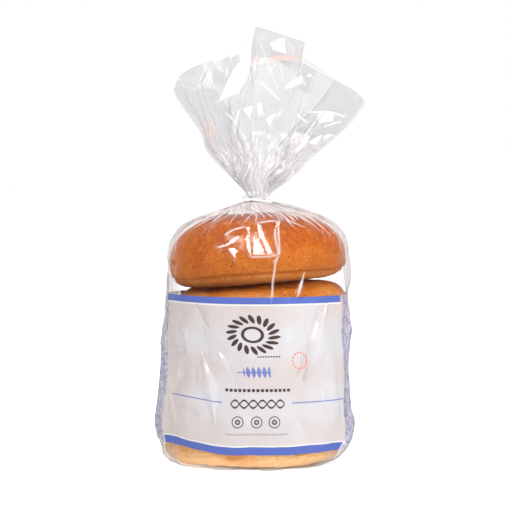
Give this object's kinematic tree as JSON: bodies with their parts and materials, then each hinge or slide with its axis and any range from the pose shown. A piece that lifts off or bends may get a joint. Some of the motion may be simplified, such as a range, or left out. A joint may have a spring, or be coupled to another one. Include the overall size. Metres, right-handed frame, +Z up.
{
  "type": "bagged bagels",
  "caption": "Stack of plain bagels in a clear film bag, gathered to a neck under a flared top and held by a flat plastic clip.",
  "frame": {"origin": "on the surface that the pack stands on, under the middle of the pack's outline", "axes": "+Z up along the stack and the gathered neck, -Y out of the printed front panel, +X to the right seen from the front"},
  "size_m": [0.1367, 0.12, 0.2825],
  "materials": {
    "film": "clear glossy food film with soft creases",
    "clip": "white moulded plastic",
    "crust": "baked bagel crust, softly shiny"
  },
  "bodies": {
    "root": {"bag": "film", "bag_clip": "clip"}
  },
  "joints": []
}
